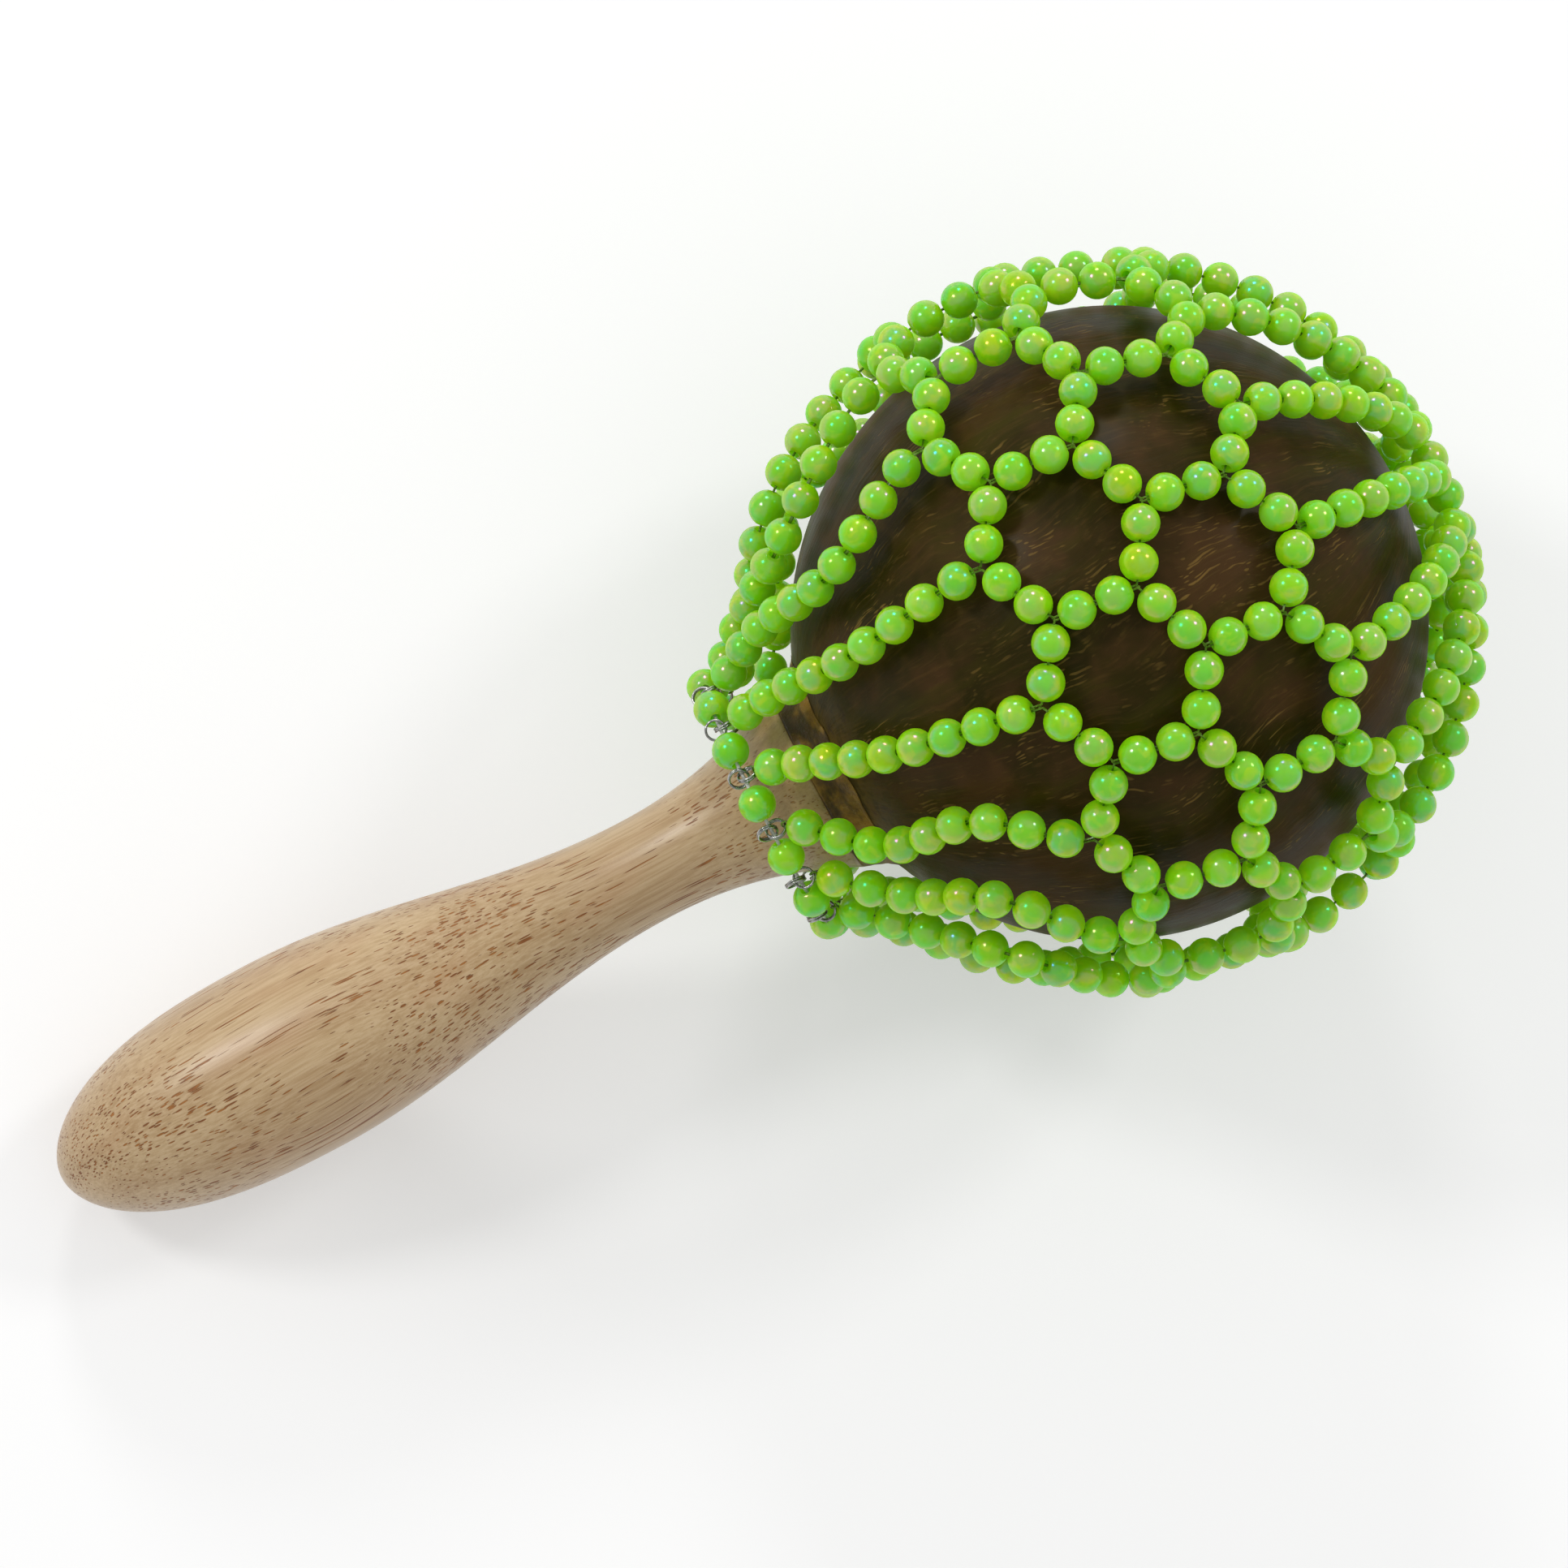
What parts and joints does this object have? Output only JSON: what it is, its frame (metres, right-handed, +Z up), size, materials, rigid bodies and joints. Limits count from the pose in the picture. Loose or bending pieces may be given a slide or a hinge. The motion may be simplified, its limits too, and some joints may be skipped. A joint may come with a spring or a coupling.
{
  "type": "shekere",
  "caption": "Hand shaker: a coconut shell on a turned wooden handle inside a loose net of round green beads, which rattles on the shell when it is shaken or twisted.",
  "frame": {"origin": "middle of the instrument's box, on the table that it lies on", "axes": "+X runs along the instrument's length from the handle's butt to the net's crown, and +Z is up from the table. The handle's own axis leans up from +X by 14.37 degrees, head end high, because the head is thicker than the handle."},
  "size_m": [0.2988, 0.145, 0.1379],
  "materials": {
    "pale_wood": "turned, clear satin lacquer",
    "polished_shell": "coconut shell, scraped and polished, golden fibres in it",
    "filler": "wood glue and dust, filed round",
    "lime_bead": "clear lime green with a faint rainbow coat",
    "plated_steel": "nickel plated wire",
    "clear_nylon": "clear nylon thread"
  },
  "bodies": {
    "shell_and_handle": {"handle": "pale_wood", "coconut_shell": "polished_shell", "glue_fillet": "filler"},
    "net": {"neck_cord": "clear_nylon", "neck_beads": "lime_bead", "strand_split_rings": "plated_steel", "neck_split_rings": "plated_steel", "crown_cord": "clear_nylon", "crown_beads": "lime_bead", "strand_beads_1": "lime_bead", "strand_beads_2": "lime_bead", "strand_beads_3": "lime_bead", "strand_beads_4": "lime_bead", "strand_beads_5": "lime_bead", "strand_beads_6": "lime_bead", "strand_beads_7": "lime_bead", "strand_beads_8": "lime_bead", "strand_beads_9": "lime_bead", "strand_beads_10": "lime_bead", "strand_beads_11": "lime_bead", "strand_beads_12": "lime_bead", "strand_beads_13": "lime_bead", "strand_beads_14": "lime_bead", "thread_1": "clear_nylon", "thread_2": "clear_nylon", "thread_3": "clear_nylon", "thread_4": "clear_nylon", "thread_5": "clear_nylon", "thread_6": "clear_nylon", "thread_7": "clear_nylon", "thread_8": "clear_nylon", "thread_9": "clear_nylon", "thread_10": "clear_nylon", "thread_11": "clear_nylon", "thread_12": "clear_nylon", "thread_13": "clear_nylon", "thread_14": "clear_nylon"}
  },
  "joints": [
    {"name": "net_turn", "type": "hinge", "parent": "shell_and_handle", "child": "net", "pos_m": [0.07704, 0.00051, 0.06932], "axis": [0.9687, 0, 0.2482], "continuous": true}
  ]
}
